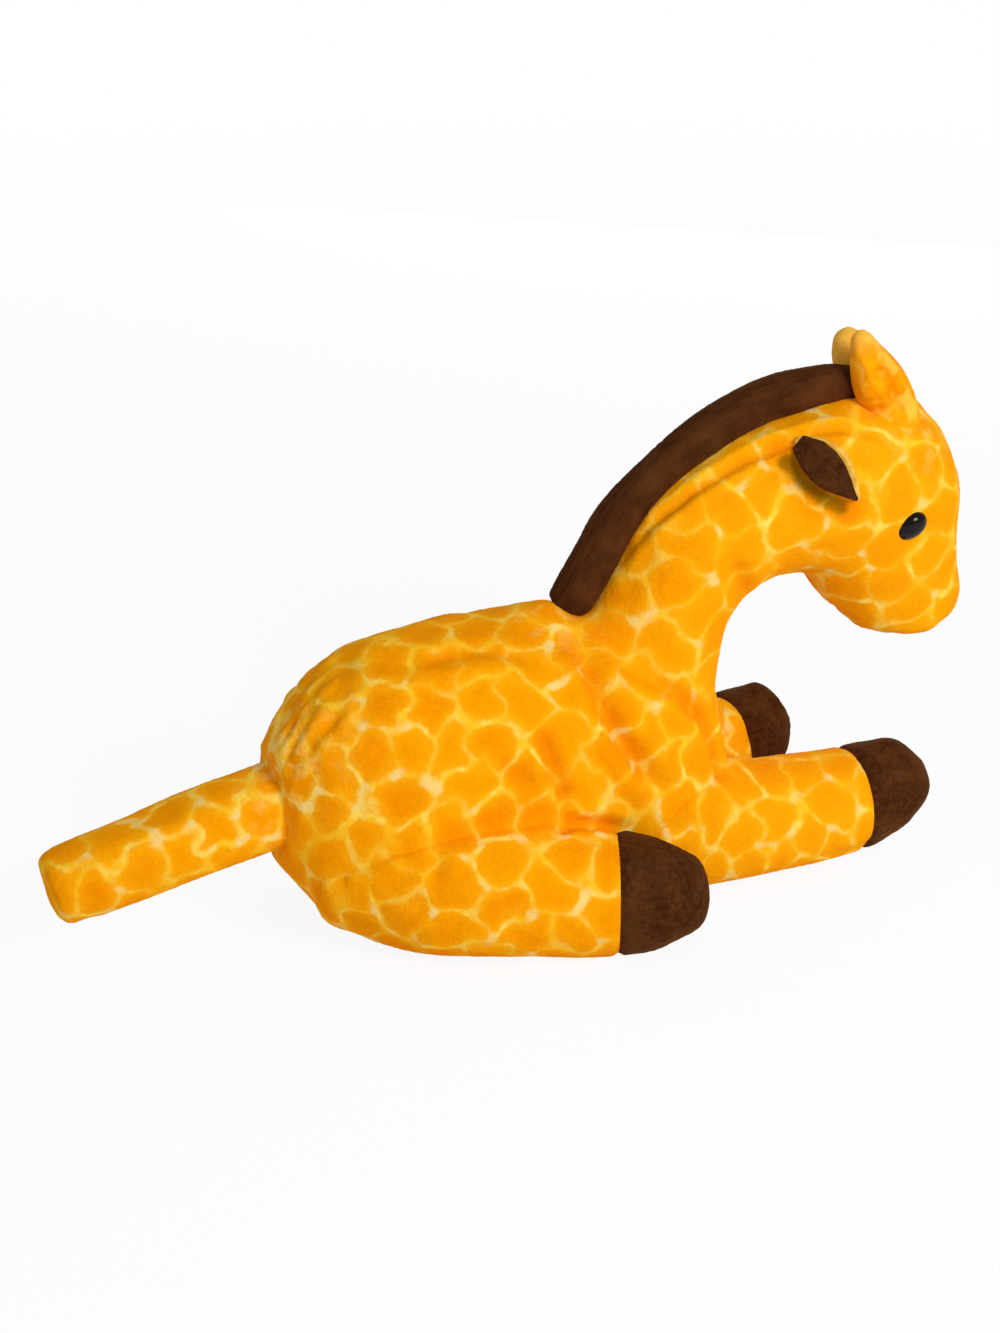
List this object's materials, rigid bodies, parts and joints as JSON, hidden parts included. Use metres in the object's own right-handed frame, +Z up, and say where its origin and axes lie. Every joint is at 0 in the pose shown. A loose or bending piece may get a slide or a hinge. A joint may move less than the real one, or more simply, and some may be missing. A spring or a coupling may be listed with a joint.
{
  "type": "plush giraffe toy",
  "caption": "Stuffed plush giraffe lying on its belly with its legs spread forward, a curved neck, a padded mane and small horns, ears and tail.",
  "frame": {"origin": "middle of the flat patch under the belly, on the surface that the toy lies on", "axes": "+X towards the nose, +Y to the toy's left, +Z up"},
  "size_m": [0.2497, 0.1186, 0.1428],
  "materials": {
    "coat_plush": "short soft pile, orange cells with pale yellow lines",
    "brown_plush": "short soft pile, dark brown",
    "pale_plush": "short soft pile, yellow and orange",
    "black_plastic": "polished, domed",
    "washer_plastic": "moulded, natural",
    "wadding": "polyester fibre filling",
    "pellets": "plastic pellets and fibre in the belly"
  },
  "bodies": {
    "torso": {"torso_skin": "coat_plush", "torso_pellets": "pellets"},
    "neck": {"neck_skin": "coat_plush", "neck_stuffing": "wadding", "mane": "brown_plush"},
    "head": {"head_skin": "coat_plush", "head_stuffing": "wadding", "eye_right": "black_plastic", "eye_washer_right": "washer_plastic", "eye_left": "black_plastic", "eye_washer_left": "washer_plastic"},
    "tail": {"tail_skin": "coat_plush", "tail_stuffing": "wadding"},
    "fore_right": {"fore_right_leg_skin": "coat_plush", "fore_right_hoof": "brown_plush", "fore_right_leg_stuffing": "wadding"},
    "fore_left": {"fore_left_leg_skin": "coat_plush", "fore_left_hoof": "brown_plush", "fore_left_leg_stuffing": "wadding"},
    "hind_right": {"hind_right_leg_skin": "coat_plush", "hind_right_hoof": "brown_plush", "hind_right_leg_stuffing": "wadding"},
    "hind_left": {"hind_left_leg_skin": "coat_plush", "hind_left_hoof": "brown_plush", "hind_left_leg_stuffing": "wadding"},
    "horn_right": {"horn_right": "pale_plush"},
    "horn_left": {"horn_left": "pale_plush"},
    "ear_right": {"ear_back_right": "pale_plush", "ear_lining_right": "brown_plush"},
    "ear_left": {"ear_back_left": "pale_plush", "ear_lining_left": "brown_plush"}
  },
  "joints": [
    {"name": "neck_nod", "type": "hinge", "parent": "torso", "child": "neck", "pos_m": [0.03596, 0, 0.05164], "axis": [0, 1, 0], "range_deg": [-10, 10], "deforming": ["mane"]},
    {"name": "head_turn", "type": "hinge", "parent": "neck", "child": "head", "pos_m": [0.07996, 0, 0.09804], "axis": [0, 0, 1], "range_deg": [-18, 18]},
    {"name": "tail_lift", "type": "hinge", "parent": "torso", "child": "tail", "pos_m": [-0.05724, 0, 0.03503], "axis": [0, 1, 0], "range_deg": [-18, 18]},
    {"name": "fore_right_swing", "type": "hinge", "parent": "torso", "child": "fore_right", "pos_m": [0.04526, -0.01575, 0.016], "axis": [0, 1, 0], "range_deg": [-12, 12]},
    {"name": "fore_left_swing", "type": "hinge", "parent": "torso", "child": "fore_left", "pos_m": [0.02976, 0.01575, 0.016], "axis": [0, 1, 0], "range_deg": [-12, 12]},
    {"name": "hind_right_spread", "type": "hinge", "parent": "torso", "child": "hind_right", "pos_m": [-0.02604, -0.022, 0.0185], "axis": [0, 0, -1], "range_deg": [-2, 20]},
    {"name": "hind_left_spread", "type": "hinge", "parent": "torso", "child": "hind_left", "pos_m": [-0.02604, 0.022, 0.0185], "axis": [0, 0, 1], "range_deg": [-2, 20]},
    {"name": "horn_right_bend", "type": "hinge", "parent": "head", "child": "horn_right", "pos_m": [0.10244, -0.007, 0.12129], "axis": [0, 1, 0], "range_deg": [-15, 15]},
    {"name": "horn_left_bend", "type": "hinge", "parent": "head", "child": "horn_left", "pos_m": [0.10244, 0.007, 0.12129], "axis": [0, 1, 0], "range_deg": [-15, 15]},
    {"name": "ear_right_flap", "type": "hinge", "parent": "head", "child": "ear_right", "pos_m": [0.0756, -0.013, 0.11715], "axis": [-0.7193, 0, -0.6947], "range_deg": [-5, 20]},
    {"name": "ear_left_flap", "type": "hinge", "parent": "head", "child": "ear_left", "pos_m": [0.0756, 0.013, 0.11715], "axis": [0.7193, 0, 0.6947], "range_deg": [-5, 20]}
  ]
}
